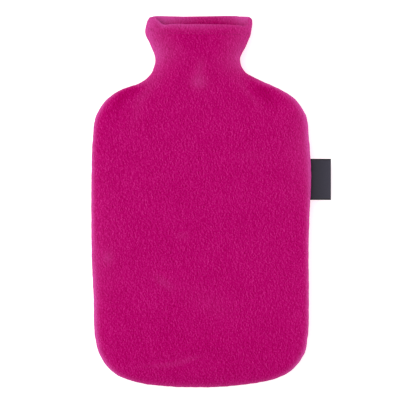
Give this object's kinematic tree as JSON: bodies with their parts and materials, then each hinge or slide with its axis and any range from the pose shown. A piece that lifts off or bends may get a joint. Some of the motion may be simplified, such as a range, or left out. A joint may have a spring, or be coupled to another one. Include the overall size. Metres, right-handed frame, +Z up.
{
  "type": "hot water bottle cover",
  "caption": "Fleece cover for a hot water bottle: a flat rounded body with a flared open neck, seamed all round, with a blank folded label in the side seam.",
  "frame": {"origin": "on the flat resting patch under the back panel, on the cover's middle line, 170 mm from the bottom seam", "axes": "+Y along the cover towards its mouth, +X to the right as seen from the front, where the label is, +Z up out of the front panel"},
  "size_m": [0.2206, 0.3419, 0.0412],
  "materials": {
    "fleece": "brushed polyester fleece with a short dense nap, matt",
    "woven_label": "satin-woven ribbon, faint sheen"
  },
  "bodies": {
    "root": {"front_panel": "fleece", "back_panel": "fleece", "label": "woven_label"}
  },
  "joints": []
}
